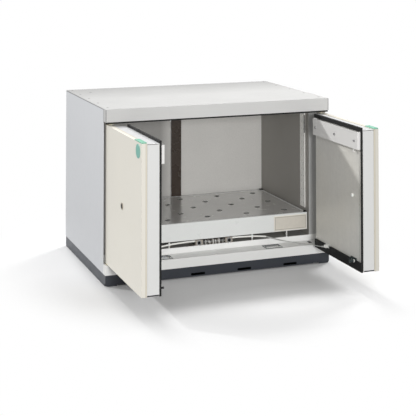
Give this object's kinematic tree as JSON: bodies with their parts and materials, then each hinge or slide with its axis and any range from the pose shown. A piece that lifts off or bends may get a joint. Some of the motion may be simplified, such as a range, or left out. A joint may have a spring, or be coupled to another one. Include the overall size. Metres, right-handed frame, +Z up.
{
  "type": "flammable storage cabinet",
  "caption": "Under-bench fire-resistant cabinet on a dark plinth with thick hinged insulated doors, sump tray with perforated insert and cable closing mechanism.",
  "frame": {"origin": "centre of the footprint on the floor, in the plane of the plinth's underside", "axes": "+Z up, -Y towards the doors (front), +X to the viewer's right when facing the doors"},
  "size_m": [0.85, 0.9608, 0.6],
  "materials": {
    "cabinet_side_paint": "light grey powder coat, fine texture",
    "cover_paint": "warm light grey powder coat, satin",
    "door_cream": "wood-based board faced with cream laminate, satin",
    "casing_paint": "white-grey coil coat, satin",
    "plinth_paint": "anthracite powder coat, satin",
    "zinc_sheet": "galvanised sheet, dull",
    "closer_paint": "silver-grey paint, satin",
    "seal_rubber": "black, matt",
    "mint_plastic": "mint green, satin",
    "white_plastic": "white, satin",
    "chrome_parts": "bright, polished",
    "steel_parts": "zinc plated, satin",
    "screw_dark": "blackened steel",
    "lock_metal": "nickel plated, satin",
    "fire_board": null,
    "lining_board": "grey laminate lining, satin",
    "duct_brown": "dark brown, satin",
    "tray_paint": "light grey powder coat, glossy",
    "insert_paint": "grey powder coat, satin",
    "label_blank": "cream film label, blank",
    "brass_parts": "turned brass"
  },
  "bodies": {
    "cabinet": {"outer_side_left": "cabinet_side_paint", "outer_side_right": "cabinet_side_paint", "top_cover": "cover_paint", "top_screws": "screw_dark", "rear_panel": "cabinet_side_paint", "base_pan": "cabinet_side_paint", "sill_fascia": "cover_paint", "latch_pockets": "chrome_parts", "plinth": "plinth_paint", "exhaust_spigot": "steel_parts", "earth_stud": "brass_parts", "insulation_left": "fire_board", "insulation_right": "fire_board", "insulation_top": "fire_board", "insulation_bottom": "fire_board", "insulation_rear": "fire_board", "liner_left": "lining_board", "liner_right": "lining_board", "liner_rear": "lining_board", "liner_ceiling": "lining_board", "liner_floor": "lining_board", "door_frame": "cover_paint", "frame_seal": "seal_rubber", "duct_cover": "duct_brown", "shelf_rails": "steel_parts", "hinge_mounts": "chrome_parts", "mechanism_plate": "steel_parts", "guide_tubes": "steel_parts", "cable_left": "steel_parts", "cable_right": "steel_parts", "tray_supports": "steel_parts"},
    "door_left": {"door_left_panel": "door_cream", "door_left_casing": "casing_paint", "door_left_core": "fire_board", "door_left_inner": "zinc_sheet", "door_left_seal": "seal_rubber", "door_left_closer": "closer_paint", "door_left_clip": "mint_plastic", "door_left_catch": "chrome_parts", "door_left_anchor": "chrome_parts", "door_left_disc": "mint_plastic"},
    "door_right": {"door_right_panel": "door_cream", "door_right_casing": "casing_paint", "door_right_core": "fire_board", "door_right_inner": "zinc_sheet", "door_right_seal": "seal_rubber", "door_right_closer": "closer_paint", "door_right_clip": "mint_plastic", "door_right_catch": "chrome_parts", "door_right_anchor": "chrome_parts", "door_right_cap": "white_plastic"},
    "lock_cylinder": {"lock_cylinder": "lock_metal"},
    "lock_rod": {"lock_rod": "steel_parts"},
    "lever_left": {"lever_left": "chrome_parts"},
    "lever_right": {"lever_right": "chrome_parts"},
    "sump_tray": {"sump_tray": "tray_paint", "tray_corner_caps": "seal_rubber", "label_plate": "label_blank"},
    "perforated_insert": {"perforated_insert": "insert_paint"},
    "levelling_feet": {"levelling_feet": "screw_dark"}
  },
  "joints": [
    {"name": "door_left_hinge", "type": "hinge", "parent": "cabinet", "child": "door_left", "pos_m": [-0.4024, -0.2729, 0.3], "axis": [0, 0, 1], "range_deg": [-5, 90], "deforming": ["cable_left"]},
    {"name": "door_right_hinge", "type": "hinge", "parent": "cabinet", "child": "door_right", "pos_m": [0.4024, -0.2729, 0.3], "axis": [0, 0, 1], "range_deg": [-90, 5], "deforming": ["cable_right"]},
    {"name": "lever_left_turn", "type": "hinge", "parent": "cabinet", "child": "lever_left", "pos_m": [-0.018, -0.197, 0.094], "axis": [0, 0, 1], "range_deg": [-20, 3]},
    {"name": "lever_right_turn", "type": "hinge", "parent": "cabinet", "child": "lever_right", "pos_m": [0.018, -0.197, 0.094], "axis": [0, 0, 1], "range_deg": [-3, 20]},
    {"name": "lock_turn", "type": "hinge", "parent": "door_left", "child": "lock_cylinder", "pos_m": [-0.4165, -0.46, 0.309], "axis": [1, 0, 0], "range_deg": [-2, 92]},
    {"name": "lock_rod_slide", "type": "slide", "parent": "door_left", "child": "lock_rod", "axis": [0, 0, -1], "range_m": [0, 0.012]},
    {"name": "tray_lift", "type": "slide", "parent": "cabinet", "child": "sump_tray", "axis": [0, 0, 1], "range_m": [0, 0.06]},
    {"name": "insert_lift", "type": "slide", "parent": "sump_tray", "child": "perforated_insert", "axis": [0, 0, 1], "range_m": [0, 0.1]},
    {"name": "feet_adjust", "type": "slide", "parent": "cabinet", "child": "levelling_feet", "axis": [0, 0, -1], "range_m": [0, 0.015]}
  ],
  "couplings": [
    {"joint": "lever_left_turn", "follows": "door_left_hinge", "ratio": -0.2},
    {"joint": "lever_right_turn", "follows": "door_right_hinge", "ratio": -0.2},
    {"joint": "lock_turn", "follows": "lock_rod_slide", "rad_per_m": 130}
  ]
}
